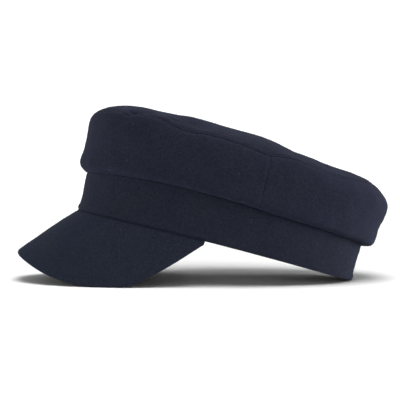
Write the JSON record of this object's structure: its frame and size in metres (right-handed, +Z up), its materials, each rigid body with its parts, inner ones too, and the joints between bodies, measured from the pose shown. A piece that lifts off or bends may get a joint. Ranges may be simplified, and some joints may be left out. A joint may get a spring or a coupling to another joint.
{
  "type": "fisherman cap",
  "caption": "Soft wool fisherman cap with a domed oval crown that overhangs a plain upright band, and a steep curved cloth-covered peak.",
  "frame": {"origin": "on the surface that the cap rests on, under the middle of its bounding box", "axes": "the peak points to -Y, +X is the wearer's left, +Z is up; the cap is pitched back as it rests by itself"},
  "size_m": [0.1898, 0.2702, 0.1269],
  "materials": {
    "crown_wool": "brushed wool cloth",
    "band_wool": "brushed wool cloth",
    "peak_wool": "brushed wool cloth over a stiffener"
  },
  "bodies": {
    "root": {"crown_tip": "crown_wool", "crown_side_front": "crown_wool", "crown_side_back": "crown_wool", "band": "band_wool", "peak": "peak_wool"}
  },
  "joints": []
}
